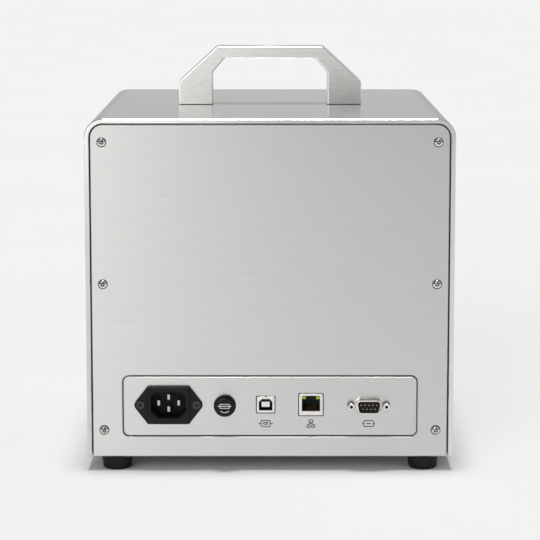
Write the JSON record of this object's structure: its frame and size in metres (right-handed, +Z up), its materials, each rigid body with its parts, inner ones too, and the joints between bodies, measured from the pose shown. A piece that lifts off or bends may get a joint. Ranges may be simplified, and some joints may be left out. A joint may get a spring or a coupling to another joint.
{
  "type": "autorefractor",
  "caption": "Table-top autorefractor in a brushed stainless case with a carry handle, rear connectors, a measuring window and an adjustable chin rest.",
  "frame": {"origin": "on the table, under the middle of the whole object, at the bottom of the feet", "axes": "+X to the right seen from the rear, +Y from the connectors to the patient, +Z up"},
  "size_m": [0.26, 0.3746, 0.2946],
  "materials": {
    "stainless_sheet": "horizontally brushed stainless sheet",
    "handle_metal": "finely brushed satin stainless",
    "polished_steel": "polished stainless screw heads",
    "zinc_steel": "zinc-plated steel",
    "foot_rubber": "matt black rubber",
    "inlet_plastic": "matt black thermoplastic",
    "fuse_plastic": "satin black phenolic",
    "tin_plate": "tin-plated sheet",
    "blade_metal": "nickel-plated brass",
    "gold_plate": "gold-plated contacts",
    "white_plastic": "white thermoplastic",
    "port_plastic": "black glass-filled plastic",
    "light_lens": "yellow-green translucent light",
    "front_paint": "brushed stainless sheet",
    "dark_glass": "dark infra-red filter glass",
    "bezel_plastic": "fine-grained dark grey plastic",
    "pad_skin": "soft dark grey silicone skin over foam",
    "cup_plastic": "white wipe-clean plastic",
    "knob_plastic": "knurled black plastic",
    "button_plastic": "satin light grey plastic",
    "status_lens": "green light pipe",
    "circuit_board": "green solder-masked laminate",
    "stage_aluminium": "clear-anodised aluminium",
    "black_aluminium": "black-anodised aluminium",
    "ground_rod": "ground steel rod",
    "motor_steel": "black motor case",
    "coated_glass": "anti-reflection coated optical glass",
    "frame_aluminium": "extruded aluminium bar"
  },
  "bodies": {
    "case": {"outer_cover": "stainless_sheet", "rear_panel": "stainless_sheet", "front_panel": "front_paint", "base_plate": "zinc_steel", "inner_frame": "frame_aluminium", "carry_handle": "handle_metal", "frame_screws": "zinc_steel", "panel_screws": "polished_steel", "rubber_feet": "foot_rubber", "connector_plate": "stainless_sheet", "rear_nuts": "zinc_steel", "inlet_body": "inlet_plastic", "inlet_blades": "blade_metal", "inlet_screws": "inlet_plastic", "fuse_holder": "fuse_plastic", "fuse_contact": "gold_plate", "usb_shell": "tin_plate", "usb_tongue": "white_plastic", "port_contacts": "gold_plate", "network_shield": "tin_plate", "network_housing": "port_plastic", "network_lights": "light_lens", "serial_shell": "tin_plate", "serial_insulator": "port_plastic", "serial_pins": "gold_plate", "serial_jackscrews": "tin_plate", "circuit_boards": "circuit_board", "power_supply": "circuit_board", "standoffs": "zinc_steel", "bench_plate": "stage_aluminium", "x_rail": "stage_aluminium", "x_motor": "motor_steel", "window_bezel": "bezel_plastic", "window_glass": "dark_glass", "forehead_bracket": "handle_metal", "forehead_pad": "pad_skin", "chin_frame": "handle_metal", "power_switch": "bezel_plastic", "status_light": "status_lens"},
    "x_screw": {"x_screw": "ground_rod"},
    "x_stage": {"x_carriage": "stage_aluminium", "lift_column": "stage_aluminium", "lift_motor": "motor_steel"},
    "lift_screw": {"lift_screw": "ground_rod"},
    "lift_stage": {"lift_bracket": "stage_aluminium"},
    "depth_screw": {"depth_screw": "ground_rod"},
    "measuring_head": {"head_housing": "black_aluminium", "lens_barrel": "black_aluminium", "objective_lens": "coated_glass", "light_ring": "black_aluminium", "beam_splitter": "coated_glass", "image_sensor": "circuit_board", "target_rails": "ground_rod"},
    "target_slide": {"target_slide": "black_aluminium"},
    "fuse_drawer": {"fuse_link": "coated_glass"},
    "fuse_cap": {"fuse_cap": "fuse_plastic"},
    "power_button": {"power_button": "button_plastic"},
    "chin_stage": {"chin_carriage": "bezel_plastic", "chin_cup": "cup_plastic"},
    "chin_knob": {"chin_knob": "knob_plastic"}
  },
  "joints": [
    {"name": "x_travel", "type": "slide", "parent": "case", "child": "x_stage", "axis": [1, 0, 0], "range_m": [-0.042, 0.042]},
    {"name": "x_screw_turn", "type": "hinge", "parent": "case", "child": "x_screw", "pos_m": [0, -0.03075, 0.102], "axis": [1, 0, 0], "range_deg": [-3780.5, 3780.5]},
    {"name": "lift_travel", "type": "slide", "parent": "x_stage", "child": "lift_stage", "axis": [0, 0, 1], "range_m": [-0.015, 0.015]},
    {"name": "lift_screw_turn", "type": "hinge", "parent": "x_stage", "child": "lift_screw", "pos_m": [0, -0.07075, 0.15], "axis": [0, 0, 1], "range_deg": [-2700.5, 2700.5]},
    {"name": "depth_travel", "type": "slide", "parent": "lift_stage", "child": "measuring_head", "axis": [0, 1, 0], "range_m": [-0.012, 0.012]},
    {"name": "depth_screw_turn", "type": "hinge", "parent": "lift_stage", "child": "depth_screw", "pos_m": [0, -0.00075, 0.1395], "axis": [0, 1, 0], "range_deg": [-4320.5, 4320.5]},
    {"name": "target_travel", "type": "slide", "parent": "measuring_head", "child": "target_slide", "axis": [0, 1, 0], "range_m": [-0.014, 0.016]},
    {"name": "fuse_withdraw", "type": "slide", "parent": "case", "child": "fuse_drawer", "axis": [0, -1, 0], "range_m": [0, 0.032]},
    {"name": "fuse_cap_turn", "type": "hinge", "parent": "fuse_drawer", "child": "fuse_cap", "pos_m": [-0.0321, -0.18075, 0.0471], "axis": [0, -1, 0], "range_deg": [0, 60]},
    {"name": "power_button_press", "type": "slide", "parent": "case", "child": "power_button", "axis": [0, -1, 0], "range_m": [0, 0.0025], "stiffness_N_per_m": 900},
    {"name": "chin_lift", "type": "slide", "parent": "case", "child": "chin_stage", "axis": [0, 0, 1], "range_m": [-0.014, 0.044]},
    {"name": "chin_knob_turn", "type": "hinge", "parent": "case", "child": "chin_knob", "pos_m": [0, 0.13425, 0.11], "axis": [0, 0, 1], "range_deg": [-840.5, 2640.5]}
  ],
  "couplings": [
    {"joint": "x_screw_turn", "follows": "x_travel", "rad_per_m": 1570.8},
    {"joint": "lift_screw_turn", "follows": "lift_travel", "rad_per_m": 3141.6},
    {"joint": "depth_screw_turn", "follows": "depth_travel", "rad_per_m": 6283.2},
    {"joint": "chin_knob_turn", "follows": "chin_lift", "rad_per_m": 1047.2}
  ]
}
